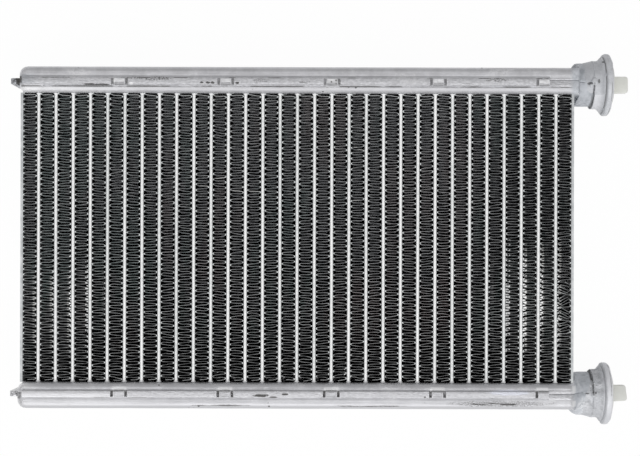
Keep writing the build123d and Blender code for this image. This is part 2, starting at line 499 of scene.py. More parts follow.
# The side plates: a thin aluminium strip on each side, cut from rolled sheet and brazed
# along the outer fins. The drawn grain of the rolls runs its whole length.
plate_pale = (0.66, 0.67, 0.68, 1.0)
plate_grey = (0.46, 0.48, 0.49, 1.0)
plate_finish, place = open_finish("plate_finish")
mottle = place.noise(300.0, detail=4.0)
grain = mottle * 0.6 + place.noise(700.0, stretch=(1.0, 0.03, 1.0)) * 0.4
close_finish(
    place,
    grain,
    0.10 * mm,
    Base_Color=grain.within(0.35, 0.62).blend(plate_grey, plate_pale),
    Roughness=mottle * 0.3 + 0.38,
    Metallic=0.55,
)
for name in ("side_plate_left", "side_plate_right"):
    for slot in nodes[name].material_slots:
        slot.material = plate_finish

# The tanks: a header plate next to the core and a cover over it, both drawn from clad
# aluminium sheet. They meet on one plane through the neck, and the cover's skirt is crimped
# over the header plate at five tabs. Side 1 is the upper tank and side -1 the lower one.
tank_left = {1: -122.5 * mm, -1: -123.05 * mm}
body_end = {1: 103.2 * mm, -1: 100.7 * mm}
neck_root = {1: 106.7 * mm, -1: 107.4 * mm}
neck_end = 119.3 * mm
neck_radius = 8.95 * mm
header_base = 58.7 * mm
seam_y = 64.0 * mm
sheet_seam = {1: 64.0 * mm, -1: 63.0 * mm}
tank_half_height = 5.3 * mm
tank_half_width = 15.8 * mm
tank_corner = 2.2 * mm
tank_face_z = 32.65 * mm
end_steps = ((1.3, 0.20), (1.0, 0.45), (0.8, 0.70), (0.45, 0.75), (0.15, 0.60))
groove_inner = 60.95 * mm
groove_outer = 61.55 * mm
groove_depth = {1: 0.40 * mm, -1: 0.18 * mm}
groove_slope = 0.14 * mm
groove_from_end = 8.5 * mm
groove_from_neck = 5.5 * mm
seam_ease = 0.3 * mm
weld = 0.001 * mm
body_cuts = 70
corner_cuts = 11
neck_cuts = 6
shoulder_cuts = 8


def ease(piece, width, segments, test=lambda middle, edge: True):
    """Rounds the edges whose middle passes the test, or else all of them."""
    pick(piece, "EDGE", test)
    bpy.ops.mesh.bevel(offset=width, segments=segments, affect="EDGES", profile=0.5)


def draw_out(x, middle_y, size, steps):
    """Extrudes the selected rim along X by each step, drawing its height and width in."""
    height, width = size
    for step, drawn_in in steps:
        x += step
        bpy.ops.mesh.extrude_region_move(TRANSFORM_OT_translate={"value": (step, 0, 0)})
        factor = (1, (height - drawn_in) / height, (width - drawn_in) / width)
        bpy.ops.transform.resize(value=factor, center_override=(x, middle_y, core_middle_z))
        height -= drawn_in
        width -= drawn_in


def tank_form(side):
    """The closed outer form of one tank with its neck, before it is parted at the seam."""
    middle_y = side * seam_y
    form = start(
        "tank_form",
        bpy.ops.mesh.primitive_plane_add,
        (body_end[side], middle_y, core_middle_z),
        (2 * tank_half_width, 2 * tank_half_height, 1.0),
        (0.0, math.pi / 2, 0.0),
        size=1.0,
    )
    bpy.ops.object.mode_set(mode="EDIT")
    bpy.ops.mesh.select_all(action="SELECT")
    bpy.ops.mesh.bevel(offset=tank_corner, segments=corner_cuts, affect="VERTICES", profile=0.5)
    bpy.ops.mesh.delete(type="ONLY_FACE")
    bpy.ops.mesh.select_all(action="SELECT")
    end_length = sum(step for step, drawn_in in end_steps) * mm
    reach = (body_end[side] - tank_left[side] - end_length) / body_cuts
    for cut in range(body_cuts):
        bpy.ops.mesh.extrude_region_move(TRANSFORM_OT_translate={"value": (-reach, 0, 0)})
    steps = [(-step * mm, drawn_in * mm) for step, drawn_in in end_steps]
    draw_out(tank_left[side] + end_length, middle_y, (tank_half_height, tank_half_width), steps)
    bpy.ops.mesh.edge_face_add()
    bpy.ops.object.mode_set(mode="OBJECT")
    neck = start(
        "neck_form",
        bpy.ops.mesh.primitive_circle_add,
        (neck_root[side], middle_y, core_middle_z),
        (1.0, 1.0, 1.0),
        (0.0, math.pi / 2, 0.0),
        vertices=4 * (corner_cuts + 1),
        radius=neck_radius,
        fill_type="NOTHING",
    )
    bpy.ops.object.mode_set(mode="EDIT")
    bpy.ops.mesh.select_all(action="SELECT")
    neck_reach = (neck_end - neck_root[side]) / neck_cuts
    for cut in range(neck_cuts):
        bpy.ops.mesh.extrude_region_move(TRANSFORM_OT_translate={"value": (neck_reach, 0, 0)})
    bpy.ops.mesh.edge_face_add()
    bpy.ops.object.mode_set(mode="OBJECT")
    join([form, neck])
    bpy.ops.object.mode_set(mode="EDIT")
    pick(form, "EDGE", lambda middle, edge: edge.is_boundary)
    bpy.ops.mesh.bridge_edge_loops(
        number_cuts=shoulder_cuts,
        interpolation="SURFACE",
        smoothness=0.9,
    )
    bpy.ops.mesh.select_all(action="SELECT")
    bpy.ops.mesh.normals_make_consistent(inside=False)
    bpy.ops.object.mode_set(mode="OBJECT")
    return form


def part_at_seam(form, side, outer, name):
    """Keeps the header plate's half of the form, or the cover's, and eases the seam's edge."""
    seam = side * sheet_seam[side]
    half = copy_of(form, name)
    bpy.ops.object.mode_set(mode="EDIT")
    bpy.ops.mesh.select_all(action="SELECT")
    kept = side if outer else -side
    bpy.ops.mesh.bisect(plane_co=(0, seam, 0), plane_no=(0, kept, 0), use_fill=True, clear_inner=True)
    ease(half, seam_ease, 2, lambda middle, edge: abs(middle.y - seam) < weld)
    if not outer:
        for y in (groove_inner, groove_outer):
            bpy.ops.mesh.select_all(action="SELECT")
            bpy.ops.mesh.bisect(plane_co=(0, side * y, 0), plane_no=(0, 1, 0))
        pick(
            half,
            "FACE",
            lambda middle, face: groove_inner < abs(middle.y) < groove_outer
            and abs(face.normal.z) > 0.9
            and tank_left[side] + groove_from_end < middle.x < body_end[side] - groove_from_neck,
        )
        bpy.ops.mesh.inset(thickness=groove_slope, depth=-groove_depth[side])
    bpy.ops.mesh.select_all(action="SELECT")
    bpy.ops.mesh.remove_doubles(threshold=weld)
    bpy.ops.mesh.normals_make_consistent(inside=False)
    bpy.ops.object.mode_set(mode="OBJECT")
    return half


skirt_start = -120.6 * mm
skirt_end = 92.3 * mm
skirt_edge_y = 61.75 * mm
skirt_top_y = 64.5 * mm
shoulder_y = 66.2 * mm
skirt_face_z = 33.65 * mm
skirt_overlap = 0.7 * mm
skirt_lip = 0.35 * mm
skirt_round = 0.5 * mm
tab_pitch = 42.9 * mm
tab_count = 5
first_tab = core_x - 71.8 * mm
tab_width = 4.7 * mm
slot_width = 1.0 * mm
slot_top_y = 64.25 * mm
slot_depth = 0.95 * mm
slot_overrun = 1.0 * mm
flat_margin = 0.5 * mm
flat_height = 1.7 * mm
flat_offset = 1.55 * mm
flat_depth = 0.25 * mm


def skirt(side, out):
    """The turned-out edge of a cover with its crimped tabs, in front for 1 or behind for -1."""
    face = core_middle_z + out * (skirt_face_z - core_middle_z)
    root = core_middle_z + out * (tank_face_z - skirt_overlap - core_middle_z)
    strip = block(
        "skirt_form",
        ((skirt_start + skirt_end) / 2, side * (skirt_edge_y + shoulder_y) / 2, (face + root) / 2),
        (skirt_end - skirt_start, shoulder_y - skirt_edge_y, abs(face - root)),
    )
    bpy.ops.object.mode_set(mode="EDIT")

    def along_face(y):
        return lambda middle, edge: abs(middle.z - face) < near and abs(abs(middle.y) - y) < near

    pick(strip, "EDGE", along_face(shoulder_y))
    bpy.ops.transform.translate(value=(0, side * (skirt_top_y - shoulder_y), 0))
    ease(strip, skirt_lip, 3, along_face(skirt_edge_y))
    ease(strip, skirt_round, 3, along_face(skirt_top_y))
    bpy.ops.mesh.select_all(action="SELECT")
    bpy.ops.mesh.remove_doubles(threshold=weld)
    bpy.ops.mesh.normals_make_consistent(inside=False)
    bpy.ops.object.mode_set(mode="OBJECT")
    slot_y = side * ((skirt_edge_y + slot_top_y) / 2 - slot_overrun / 2)
    slot_size = (slot_width, slot_top_y - skirt_edge_y + slot_overrun, 2 * slot_depth)
    flat_y = side * (skirt_edge_y + flat_offset)
    flat_size = (tab_width - 2 * flat_margin, flat_height, 2 * flat_depth)
    cuts = []
    for tab in range(tab_count):
        tab_x = first_tab + tab * tab_pitch
        for end in (-1, 1):
            slot_x = tab_x + end * (tab_width + slot_width) / 2
            if slot_x < skirt_end:
                cuts.append(block("tab_slot", (slot_x, slot_y, face), slot_size))
        if tab_x + tab_width / 2 < skirt_end:
            cuts.append(block("tab_flat", (tab_x, flat_y, face), flat_size))
    join(cuts)
    settle(strip, "BOOLEAN", object=cuts[0], operation="DIFFERENCE", solver="EXACT")
    bpy.data.objects.remove(cuts[0])
    return strip


ear_tip = -127.3 * mm
ear_root = -121.0 * mm
ear_half_width = 9.0 * mm
ear_sheet = 1.15 * mm
ear_corner = 1.6 * mm
ear_ease = 0.22 * mm
base_end = -121.7 * mm
base_start = -112.0 * mm
base_height = 1.8 * mm
base_width = 25.6 * mm
base_corner = 2.0 * mm
gusset_foot = -121.6 * mm
gusset_width = 1.5 * ear_half_width
gusset_lean = (-3.6 * mm, 0.3 * mm, 0)
gusset_ease = 0.2 * mm


def ear(side, outer):
    """The lug at the closed end, a tongue of each sheet, with the gusset under the upper one."""
    low = seam_y if outer else seam_y - ear_sheet

    def corners_at(end):
        return lambda middle, edge: middle.x < end + near and abs(middle.z - core_middle_z) > 1 * mm

    lug = block(
        "ear_form",
        ((ear_tip + ear_root) / 2, side * (low + ear_sheet / 2), core_middle_z),
        (ear_root - ear_tip, ear_sheet, 2 * ear_half_width),
    )
    bpy.ops.object.mode_set(mode="EDIT")
    ease(lug, ear_corner, 5, corners_at(ear_tip))
    ease(lug, ear_ease, 2)
    bpy.ops.object.mode_set(mode="OBJECT")
    if outer:
        return [lug]
    base = block(
        "corner_form",
        ((base_end + base_start) / 2, side * (header_base + base_height / 2), core_middle_z),
        (base_start - base_end, base_height, base_width),
    )
    bpy.ops.object.mode_set(mode="EDIT")
    ease(base, base_corner, 4, corners_at(base_end))
    bpy.ops.object.mode_set(mode="OBJECT")
    if side < 0:
        return [lug, base]
    foot = block(
        "gusset_form",
        ((gusset_foot + ear_root) / 2, side * (header_base + low) / 2, core_middle_z),
        (ear_root - gusset_foot, low - header_base, gusset_width),
    )
    bpy.ops.object.mode_set(mode="EDIT")
    pick(foot, "EDGE", lambda middle, edge: middle.x < gusset_foot + near and middle.y > low - near)
    bpy.ops.transform.translate(value=gusset_lean)
    ease(foot, gusset_ease, 2)
    bpy.ops.object.mode_set(mode="OBJECT")
    return [lug, base, foot]


tank_pale = (0.74, 0.74, 0.765, 1.0)
tank_grey = (0.53, 0.53, 0.55, 1.0)
tank_flux_and_highlight = (0.84, 0.84, 0.85, 1.0)
neck_grey = (0.40, 0.42, 0.45, 1.0)
neck_pale = (0.56, 0.58, 0.615, 1.0)
tank_soot_and_shade = (0.035, 0.032, 0.028, 1.0)
tank_bluish = (0.78, 0.80, 0.88, 1.0)
ear_highlight_white = (0.98, 0.98, 0.98, 1.0)
tank_finish, place = open_finish("tank_finish")
across = place.part("X")
along = place.part("Y")
height_y = along.size()
upper = along.rises(-1.0, 1.0)
lower = 1 - upper
mottle = place.noise(260.0, detail=5.0, roughness=0.65)
fine = place.noise(1500.0, detail=3.0)
drawn = place.noise(900.0, detail=2.0, stretch=(0.03, 1.0, 1.0))
crumple = place.noise(1300.0, detail=5.0, roughness=0.7, stretch=(0.55, 1.0, 1.0))
neck = across.within(100.8 * mm - upper * 0.9 * mm, 103.8 * mm - upper * 1.3 * mm)
body = 1 - neck
rough_band = height_y.band(61.2, 62.0, 64.4, 65.2) * body
rough_band = rough_band * (1 - across.falls(-98.0, -70.0) * lower * 0.8)
tone = mottle * 0.5 + drawn * 0.4 + (crumple - 0.5) * rough_band * (upper * 0.6 + 0.9)
colour = tone.within(0.30, 0.62).blend(tank_grey, tank_pale)
neck_colour = mottle.within(0.35, 0.60).blend(neck_grey, neck_pale)
colour = neck.blend(colour, neck_colour)
flux = place.noise(110.0, detail=5.0, roughness=0.6).within(0.56, 0.66) * fine.within(0.35, 0.6)
colour = (flux * 0.6).blend(colour, tank_flux_and_highlight)
# Painted shade: the lower tank's outer rounded edge is greyed and made less metallic, to dim its
# highlight.
outer_edge_shade = height_y.rises(67.0, 68.6) * lower * body
colour = (outer_edge_shade * 0.95).blend(colour, tank_grey)
inner_band = height_y.falls(60.5, 61.1) * body * upper
far_left = across.falls(-98.0, -62.0)
# Painted light and shade: the upper header's corner next to the core is lighter at the far left and
# shaded towards grey further right, and the upper skirt band is shaded a little.
colour = (inner_band * far_left * 0.3).blend(colour, tank_flux_and_highlight)
colour = (inner_band * (1 - far_left) * 0.62 + rough_band * upper * 0.16).blend(colour, tank_grey)
smooth_end = far_left * lower * height_y.falls(68.0, 68.8)
colour = (smooth_end * height_y.rises(61.6, 62.2) * 0.30).blend(colour, tank_flux_and_highlight)
# Painted shade: the cover's outer faces are greyed, more on the lower tank, which the light reaches
# more.
cover_face_shade = height_y.rises(61.3, 61.9) * body * (0.42 - upper * 0.16)
colour = cover_face_shade.blend(colour, tank_grey)
# Painted shade on the lower header's corner next to the core, which faces away from the light.
lower_corner_shade = height_y.falls(60.2, 61.0) * body * lower * 0.58
colour = lower_corner_shade.blend(colour, tank_grey)

# Painted highlight where the lower tank's body turns down into its neck, in the flux colour.
turn_down_highlight = across.band(101.4, 102.4, 103.3, 104.3) * lower
shoulders = height_y.band(59.3, 60.0, 62.3, 63.0)
shoulders = shoulders + height_y.band(65.3, 66.0, 67.8, 68.5)
colour = (turn_down_highlight * shoulders * 0.8).blend(colour, tank_flux_and_highlight)
pool_zone = height_y.falls(58.45, 58.62) * across.falls(97.0, 98.0)
colour = pool_zone.blend(colour, tank_flux_and_highlight)

from_tab = from_nearest(across, first_tab, tab_pitch)
on_skirt = across.within(skirt_start, skirt_start + 1.0 * mm)
on_skirt = on_skirt * (1 - across.within(skirt_end - 0.6 * mm, skirt_end))
near_tab = from_tab.falls(2.4, 3.4)
on_tab = from_tab.falls(1.9, 2.2) * on_skirt
# Painted highlight on the header beside each tab, standing in for a raised bump, mostly on the lower
# tank.
bump_highlight = height_y.band(60.0, 60.4, 61.5, 61.8)
colour = (near_tab * bump_highlight * on_skirt * (0.75 - upper * 0.60)).blend(colour, tank_flux_and_highlight)
tab_band = height_y.band(62.6, 62.9, 64.0, 64.3)
colour = (on_tab * tab_band * upper * 0.7).blend(colour, tank_flux_and_highlight)

# Painted shade in the groove between the cover's skirt and the header plate, darker on the upper tank.
groove = height_y.band(60.85, 61.1, 61.3, 61.6)
groove = groove * body * (1 - near_tab) * place.noise(300.0, stretch=(0.3, 1.0, 1.0)).within(0.40, 0.54)
broken = place.noise(260.0, detail=5.0, stretch=(0.5, 0.01, 0.01)).within(0.53, 0.60)
seam_line = height_y.band(64.35, 64.5, 64.6, 64.8) * on_skirt * broken
# Painted shade in the slots beside each tab and along the foot of each tab.
tab_slot_shade = from_tab.band(2.1, 2.5, 3.2, 3.5)
tab_slot_shade = tab_slot_shade * height_y.band(61.5, 61.9, 64.1, 64.6)
tab_slot_shade = tab_slot_shade * crumple.within(0.36, 0.52) * on_skirt * (1.0 - upper * 0.35)
tab_foot_shade = on_tab * height_y.band(61.5, 61.7, 62.2, 62.6)


def spot(x, y, reach, width):
    """A ragged patch on a tank: dark where flux burnt or the sheet is pitted, and also used for painted
    glints and a pale bluish patch.
    """
    off_x = (across - x * mm) / (reach * mm)
    off_y = (along - y * mm) / (width * mm)
    return 1 - (off_x * off_x + off_y * off_y + (crumple - 0.5) * 3.0).within(0.55, 1.15)


grain = place.noise(2300.0, detail=2.0).within(0.46, 0.58)
burnt = spot(-43.8, 62.6, 0.8, 0.5) + spot(-33.9, 62.5, 0.9, 0.45)
burnt = burnt + (spot(-66.0, 64.2, 5.5, 0.8) + spot(-75.5, 64.5, 4.5, 0.4)) * grain * 0.9
burnt = burnt + (spot(-93.5, 61.9, 2.6, 0.28) + spot(-88.5, 61.8, 3.0, 0.24)) * 0.9
burnt = burnt + (spot(-24.6, 63.5, 3.0, 0.9) + spot(-7.0, 62.9, 2.5, 0.6)) * grain * 0.5
burnt = burnt + spot(70.7, 64.0, 4.5, 0.8) * grain * 0.7
burnt = burnt + spot(-23.9, -63.7, 3.0, 0.60) + spot(-19.1, -64.3, 1.7, 0.30)
burnt = burnt + spot(-14.4, -63.1, 1.4, 0.35)
burnt = burnt + spot(-48.2, 62.6, 0.8, 0.45) + spot(-45.7, 62.6, 0.9, 0.45)
burnt = burnt.or_less(1.0)
streaks = place.noise(1500.0, stretch=(0.06, 1.0, 0.3)).within(0.40, 0.56)
stained = spot(20.0, -67.9, 14.0, 0.35) + spot(-40.0, -67.8, 12.0, 0.30) + spot(70.5, -66.9, 9.5, 0.75)
stained = (stained * streaks + spot(73.0, -66.8, 21.0, 1.3) * grain * 0.6) * 0.75
# A pale bluish patch on the lower tank's skirt.
bluish_patch = spot(76.0, -62.3, 8.5, 1.1) * 0.7
colour = bluish_patch.blend(colour, tank_bluish)
# Painted highlights: two small white glints on the upper skirt.
glint_spots = spot(-76.8, 62.2, 0.8, 0.5) + spot(-83.6, 63.4, 0.5, 0.8)
colour = glint_spots.blend(colour, tank_flux_and_highlight)
closed_end = across.falls(-121.0, -112.0)
# Painted highlight on the upper header's rounded corner at the closed end.
colour = (closed_end * inner_band * 0.75).blend(colour, tank_flux_and_highlight)
end_shade = closed_end * upper * height_y.band(61.6, 62.4, 65.6, 66.6)
colour = (end_shade * 0.55).blend(colour, neck_grey)
# Painted highlights on the lower tank's closed end: on its header corner and on its rounded outer end.
end_highlight = closed_end * lower * height_y.falls(60.6, 61.4) * 0.70
round_end_highlight = across.falls(-122.4, -120.6) * lower * height_y.rises(65.2, 66.0) * 0.60
colour = end_highlight.or_more(round_end_highlight).blend(colour, tank_flux_and_highlight)
cell = place.node("ShaderNodeTexVoronoi", {"feature": "F1"}, {"Vector": place, "Scale": 420.0})
pits = (1 - cell.within(0.10, 0.22)) * place.noise(70.0).within(0.60, 0.66)
on_ear = across.falls(-121.7, -120.9) * height_y.rises(62.3, 62.9)
on_ear = on_ear * height_y.falls(65.1, 65.5)
# Dirt on the ears, with painted shade that darkens it towards the ear's root, in the recess where the
# ear meets the tank.
root_shade_zone = across.rises(-125.3, -124.3) * (upper * 0.6 + 0.4)
ear_dirt_and_shade = place.noise(1000.0, detail=5.0, roughness=0.7)
ear_dirt_and_shade = ear_dirt_and_shade.within(0.50 - 0.26 * root_shade_zone, 0.60 - 0.24 * root_shade_zone)
# Painted light: a side face of the lower ear is white and not metallic.
ear_side_highlight = across.falls(-123.4, -123.2) * height_y.falls(62.86, 62.95) * lower
colour = ear_side_highlight.blend(colour, ear_highlight_white)
ear_dirt_and_shade = ear_dirt_and_shade * on_ear * (upper * 0.35 + 0.6) * (1 - ear_side_highlight)
joint = across.rises(110.7, 111.2) * mottle.within(0.30, 0.50) * (1.0 - upper * 0.45)
# The marks take the soot colour: real burns, stains, pits, seam and joint lines, and painted shade in
# the groove, the tab slots and round the ear's root.
marks = groove * (0.04 + upper * 0.62)
for mark in (
    seam_line * (0.40 + upper * 0.40),
    tab_slot_shade * 0.85,
    tab_foot_shade * 0.35,
    burnt * 0.9,
    stained,
    ear_dirt_and_shade,
    joint * 0.9,
    pits * 0.8,
):
    marks = marks.or_more(mark)
colour = marks.blend(colour, tank_soot_and_shade)
relief = mottle * (0.3 + neck * 0.8) + fine * 0.15 + drawn * 0.25
relief = relief + crumple * rough_band * 1.2 - marks * 0.6
roughness = 0.36 + mottle * 0.18 + flux * 0.2 + rough_band * 0.08
roughness = roughness + neck * 0.2 + inner_band * 0.1 + outer_edge_shade * 0.12
metallic = 0.80 - flux * 0.3 - marks * 0.7 - neck * 0.56 - inner_band * 0.3
metallic = metallic - pool_zone * 0.7 - outer_edge_shade * 0.45 - ear_side_highlight * 0.8
close_finish(
    place,
    relief,
    0.22 * mm,
    Base_Color=colour,
    Roughness=roughness,
    Metallic=metallic,
)

nose_fillet = 1.0 * mm
pool_tip = 0.62 * mm
pool_foot = 1.10 * mm
pool_squash = 0.75
tube_nose_z = 12.85 * mm


def fillets_at(side):
    """The pools of braze round the noses of all 31 tubes where they enter the header."""
    pools = []
    for front in (1, -1):
        pool_x = core_x - tube_count // 2 * tube_pitch
        pool_y = side * (header_base - nose_fillet / 2)
        pool = start(
            "braze_pool",
            bpy.ops.mesh.primitive_cone_add,
            (pool_x, pool_y, core_middle_z + front * tube_nose_z),
            (1.0, 1.0, pool_squash),
            (-side * math.pi / 2, 0.0, 0.0),
            vertices=14,
            radius1=pool_tip,
            radius2=pool_foot,
            depth=nose_fillet,
        )
        repeat(pool, tube_count, (tube_pitch, 0, 0))
        pools.append(pool)
    return pools


dents = clouds("sheet_dents", 11.0 * mm)
dent_height = 0.12 * mm
for side, place_name in ((1, "upper"), (-1, "lower")):
    form = tank_form(side)
    header = part_at_seam(form, side, False, "header_pan_" + place_name)
    cover = part_at_seam(form, side, True, "cover_shell_" + place_name)
    bpy.data.objects.remove(form)
    join([header] + ear(side, False) + fillets_at(side))
    join([cover, skirt(side, 1), skirt(side, -1)] + ear(side, True))
    for piece, node in ((header, "header_plate_"), (cover, "tank_cover_")):
        roughen(piece, dents, dent_height, middle=0.7)
        bpy.ops.object.shade_smooth_by_angle(angle=math.radians(32))
        fit(piece, tank_finish, "tank_aluminium", node + place_name)

# The port flanges: a turned aluminium ring, slipped over each neck and brazed there with a
# tilted run and a few lumps of braze. Its collar flares to a rim that clamps against the
# hose. The profile is in millimetres: how far from the collar's start, and the radius.
collar_start = 111.6 * mm
ring_vertices = 72
flange_profile = (
    (0.00, 9.10),
    (0.05, 9.75),
    (0.30, 10.00),
    (1.30, 10.02),
    (2.20, 10.05),
    (2.80, 10.20),
    (3.40, 10.60),
    (3.90, 11.20),
    (4.25, 11.62),
    (4.45, 11.62),
    (4.60, 11.50),
    (4.75, 11.65),
    (4.85, 12.20),
    (5.05, 12.62),
    (5.45, 12.84),
    (6.10, 12.88),
    (6.80, 12.80),
    (7.30, 12.60),
    (7.60, 12.25),
    (7.70, 11.80),
    (7.70, 9.60),
)


def flange(side):
    """A turned ring, drawn out of a circle step by step along its axis."""
    middle_y = side * seam_y
    first_x, first_radius = flange_profile[0]
    x = collar_start + first_x * mm
    ring = start(
        "flange_form",
        bpy.ops.mesh.primitive_circle_add,
        (x, middle_y, core_middle_z),
        (1.0, 1.0, 1.0),
        (0.0, math.pi / 2, 0.0),
        vertices=ring_vertices,
        radius=first_radius * mm,
        fill_type="NGON",
    )
    bpy.ops.object.mode_set(mode="EDIT")
    bpy.ops.mesh.select_all(action="SELECT")
    radius = first_radius
    for next_x, next_radius in flange_profile[1:]:
        step = collar_start + next_x * mm - x
        x += step
        bpy.ops.mesh.extrude_region_move(TRANSFORM_OT_translate={"value": (step, 0, 0)})
        factor = next_radius / radius
        bpy.ops.transform.resize(value=(1, factor, factor), center_override=(x, middle_y, core_middle_z))
        radius = next_radius
    bpy.ops.mesh.select_all(action="SELECT")
    bpy.ops.mesh.normals_make_consistent(inside=False)
    bpy.ops.object.mode_set(mode="OBJECT")
    return ring


flange_pale = (0.70, 0.71, 0.735, 1.0)
flange_grey = (0.52, 0.53, 0.555, 1.0)
flange_soot_and_shade = (0.06, 0.06, 0.06, 1.0)
flange_deep = (0.40, 0.41, 0.435, 1.0)
flange_light = (0.86, 0.86, 0.89, 1.0)
flange_finish, place = open_finish("flange_finish")
smear = place.noise(330.0, detail=5.0, roughness=0.65)
fine = place.noise(1800.0)
colour = (smear * 0.7 + fine * 0.3).within(0.32, 0.60).blend(flange_grey, flange_pale)
turned = place.part("X")
ring_along = place.part("Y")
wrinkles = place.noise(430.0, detail=4.0, roughness=0.7, stretch=(0.6, 1.0, 1.0))
wrinkles = wrinkles * turned.falls(115.2, 116.4)
crease = turned.band(115.85, 116.1, 116.3, 116.6)
lip = turned.band(118.1, 118.35, 118.45, 118.75)
ring_y = ring_along.size()
inner_half = ring_y.falls(63.2, 64.4)
upper_ring = ring_along.rises(-1.0, 1.0)
lower_ring = 1 - upper_ring
root = turned.falls(111.75, 112.10) * inner_half * turned.rises(111.3, 111.5)
# Painted shade: dark lines in the crease, stronger on the upper ring, and along the lip on its inner
# half.
marks = crease * smear.within(0.36, 0.52) * (0.30 + upper_ring * 0.30)
marks = marks + lip * smear.within(0.40, 0.56) * inner_half * 0.55
collar = turned.falls(115.2, 115.9) * (0.32 - upper_ring * 0.06)
colour = collar.blend(colour, flange_deep)
# Painted shade in the troughs of the lower collar's wrinkles, and painted highlights on their ridges.
folded = (1 - wrinkles.within(0.36, 0.46)) * lower_ring * turned.falls(115.0, 115.6)
colour = (folded * 0.20).blend(colour, flange_soot_and_shade)
ridge_highlights = wrinkles.within(0.50, 0.60) * lower_ring * 0.32
colour = ridge_highlights.blend(colour, flange_light)
# Lighter on the upper collar's side towards the core.
near_core_patch = turned.band(112.0, 112.3, 115.3, 115.7)
near_core_patch = near_core_patch * upper_ring * ring_along.falls(58.8, 59.2)
colour = (near_core_patch * 0.55).blend(colour, flange_light)
rim = turned.rises(116.5, 117.0) * lower_ring * 0.45
colour = rim.blend(colour, flange_light)
# Painted shade on the lower ring's outer side, and a little over the whole upper ring.
outer_side_shade = ring_y.rises(66.5, 74.0) * lower_ring * 0.42 + upper_ring * 0.12
colour = outer_side_shade.blend(colour, flange_deep)
marks = marks.or_more(root * smear.within(0.34, 0.52) * 0.85)


def blot(x, y, reach, width):
    """A ragged dark hole or burnt spot in the braze of a port."""
    off_x = (turned - x * mm) / (reach * mm)
    off_y = (ring_along - y * mm) / (width * mm)
    return 1 - (off_x * off_x + off_y * off_y + (smear - 0.5) * 2.0).within(0.50, 1.10)


blots = blot(113.5, 64.5, 0.5, 1.0) + blot(109.9, 63.6, 1.1, 0.55) + blot(115.8, 72.6, 0.5, 0.5)
blots = blots + blot(109.2, -63.2, 1.2, 0.35) + blot(112.5, -62.9, 0.5, 0.55)
marks = marks.or_more(blots.or_less(1.0) * 0.75)
colour = marks.blend(colour, flange_soot_and_shade)
close_finish(
    place,
    smear * 0.7 + fine * 0.2 - marks * 0.5 + wrinkles * (4.2 - upper_ring * 3.4),
    0.28 * mm,
    Base_Color=colour,
    Roughness=0.50 + smear * 0.25,
    Metallic=0.26 - marks * 0.2,
)

ring_knocks = clouds("flange_knocks", 3.4 * mm)
ring_knock_height = 0.45 * mm
lumps_mm = ((1, 111.9, 0.2, 1.5), (1, 110.6, -1.0, 0.9), (-1, 111.7, 0.1, 0.9), (-1, 112.0, 4.6, 0.8))
lump_seat = 9.6
lump_shape = (1.0, 1.15, 0.55)
lumps = []
for side, lump_x, lump_y, lump_radius in lumps_mm:
    lump_z = math.sqrt(lump_seat ** 2 - lump_y ** 2) * mm
    lump = start(
        "braze_lump",
        bpy.ops.mesh.primitive_ico_sphere_add,
        (lump_x * mm, side * seam_y + lump_y * mm, core_middle_z + lump_z),
        lump_shape,
        subdivisions=3,
        radius=lump_radius * mm,
    )
    lumps.append(lump)
run_start = 107.6 * mm
run_end = 112.6 * mm
run_narrow = 8.90 * mm
run_wide = 9.45 * mm
run_tilt = 0.62 * mm
for side in (1, -1):
    run = start(
        "braze_fillet",
        bpy.ops.mesh.primitive_cone_add,
        ((run_start + run_end) / 2, side * seam_y, core_middle_z),
        (1.0, 1.0, 1.0),
        (0.0, math.pi / 2, 0.0),
        vertices=ring_vertices,
        radius1=run_narrow,
        radius2=run_wide,
        depth=run_end - run_start,
    )
    bpy.ops.object.mode_set(mode="EDIT")
    pick(run, "VERT", lambda middle, corner: middle.x > run_end - near)
    bpy.ops.transform.translate(value=(0, side * run_tilt, 0))
    bpy.ops.object.mode_set(mode="OBJECT")
    lumps.append(run)
rings = join([flange(1), flange(-1)] + lumps)
rings.name = "port_rings"
roughen(rings, ring_knocks, ring_knock_height, middle=0.75)
bpy.ops.object.shade_smooth_by_angle(angle=math.radians(40))
fit(rings, flange_finish, "flange_aluminium", "port_flanges")

# The transit plugs: soft pale plastic, pressed into each port to keep dirt out. A round
# head closes the bore, and a flat tab to grip stands out of it.
plug_head_radius = 9.0 * mm
plug_face_x = 119.35 * mm
plug_head_end = 120.15 * mm
plug_tip = 127.3 * mm
head_ease = 0.25 * mm
shank_step = 1.4 * mm
shank_length = 6.5 * mm
grip_half_height = 3.45 * mm
grip_half_thickness = 1.2 * mm
grip_overlap = 0.4 * mm
grip_corner = 1.15 * mm
grip_ease = 0.3 * mm
bends = ((1.5 * mm, 1, (-0.55 * mm, 0, 0)), (2.0 * mm, -1, (0, 0.35 * mm, 0)))


